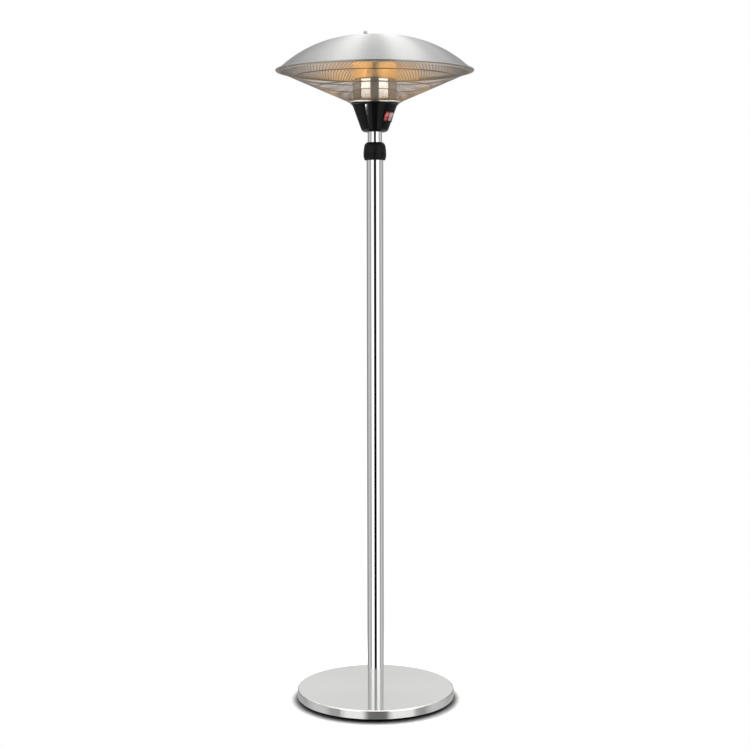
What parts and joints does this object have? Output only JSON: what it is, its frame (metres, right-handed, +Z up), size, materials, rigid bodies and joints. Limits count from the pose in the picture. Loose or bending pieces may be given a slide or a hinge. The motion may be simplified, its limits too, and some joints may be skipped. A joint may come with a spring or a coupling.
{
  "type": "standing infrared heater",
  "caption": "Standing infrared heater with a domed steel shade over ring lamps, a conical mesh guard, a switch housing, a telescopic pole with a twist collar and a round base.",
  "frame": {"origin": "on the floor under the feet, at the axis of the pole", "axes": "+Z up along the pole, -Y towards the front, +X to the right as seen from the front"},
  "size_m": [0.59, 0.59, 2.0151],
  "materials": {
    "base_steel": "spun and finely brushed stainless steel",
    "ballast": "rough grey iron",
    "rubber": "black rubber",
    "fasteners": "bright zinc or stainless fasteners",
    "black_matte": "satin black moulded plastic",
    "polished_tube": "polished stainless tube",
    "nylon": "natural nylon",
    "cast_alloy": "as cast",
    "black_gloss": "glossy black",
    "black_lid": "black enamel",
    "red_rocker": "lit red plastic",
    "pale_rocker": "pale red translucent plastic",
    "lead_sleeve": "glass-fibre sleeve",
    "polished_column": "polished reflector",
    "ceramic": "unglazed steatite",
    "quartz": "clear quartz",
    "glowing_coil": "glowing heating coil",
    "brushed_dome": "brushed stainless steel",
    "guard_steel": "bright drawn steel"
  },
  "bodies": {
    "stand": {"base_cover": "base_steel", "base_ballast": "ballast", "base_hub": "ballast", "rubber_feet": "rubber", "foot_bolt": "fasteners", "foot_washer": "fasteners", "pole_foot": "ballast", "cable_gland": "black_matte", "gland_nut": "black_matte", "lower_tube": "polished_tube", "collar_sleeve": "black_matte", "clamp_collet": "nylon"},
    "collar": {"collar_nut": "black_matte"},
    "head": {"upper_tube": "polished_tube", "guide_bush": "nylon", "tube_socket": "cast_alloy", "socket_rivets": "fasteners", "cross_bolt": "fasteners", "housing_shell": "black_gloss", "housing_lid": "black_lid", "lid_screws": "fasteners", "switch_frame": "black_matte", "terminal_block": "nylon", "tilt_switch": "nylon", "lead_grommet": "rubber", "lamp_leads": "lead_sleeve", "reflector_column": "polished_column", "column_cap": "fasteners", "tie_rods": "fasteners", "rod_nuts": "fasteners", "lamp_holders": "ceramic", "holder_screws": "fasteners", "lamp_caps": "ceramic", "lamp_tubes": "quartz", "lamp_filaments": "glowing_coil", "tube_clips": "fasteners", "dome": "brushed_dome", "dome_washers": "rubber", "cap_nuts": "fasteners", "neck_ring": "guard_steel", "guard_mesh": "guard_steel", "guard_hoops": "guard_steel", "guard_rim": "guard_steel", "rim_screws": "fasteners"},
    "left_rocker": {"rocker_left": "red_rocker"},
    "right_rocker": {"rocker_right": "pale_rocker"}
  },
  "joints": [
    {"name": "height_slide", "type": "slide", "parent": "stand", "child": "head", "axis": [0, 0, 1], "range_m": [-0.029, 0.14]},
    {"name": "collar_twist", "type": "hinge", "parent": "stand", "child": "collar", "pos_m": [0, 0, 1.68], "axis": [0, 0, 1], "range_deg": [0, 120]},
    {"name": "left_switch", "type": "hinge", "parent": "head", "child": "left_rocker", "pos_m": [0.03098, -0.04034, 1.76607], "axis": [0.6691, 0.7431, 0], "range_deg": [-18, 0]},
    {"name": "right_switch", "type": "hinge", "parent": "head", "child": "right_rocker", "pos_m": [0.04336, -0.02659, 1.76607], "axis": [0.6691, 0.7431, 0], "range_deg": [-18, 0]}
  ]
}
